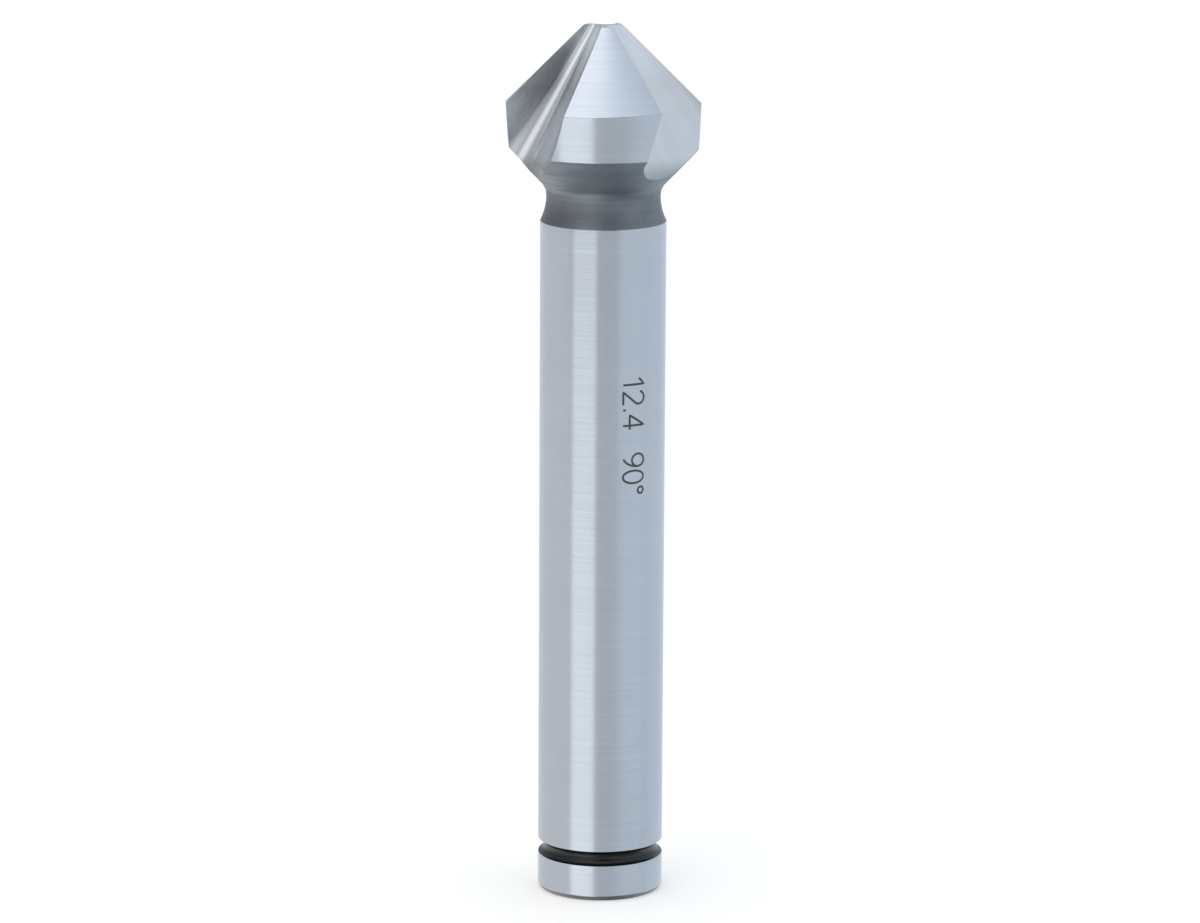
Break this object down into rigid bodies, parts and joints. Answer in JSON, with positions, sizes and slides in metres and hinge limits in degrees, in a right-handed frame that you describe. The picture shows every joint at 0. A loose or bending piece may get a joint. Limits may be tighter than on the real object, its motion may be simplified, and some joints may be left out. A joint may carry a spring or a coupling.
{
  "type": "countersink bit",
  "caption": "Countersink bit with a relieved 90-degree cutting head, waisted neck and plain round shank with a ring groove, for deburring and countersinking holes.",
  "frame": {"origin": "centre of the flat end face of the shank, on the bit's axis", "axes": "+Z runs along the bit's axis from the shank's end to the cutting tip. The bit stands on its shank end, and the middle of one flute faces between +X and -Y."},
  "size_m": [0.0124, 0.0119, 0.056],
  "materials": {
    "ground_steel": "bright ground steel, with darker turned steel on the neck, the back of the head and the ring groove"
  },
  "bodies": {
    "root": {"countersink_bit": "ground_steel"}
  },
  "joints": []
}
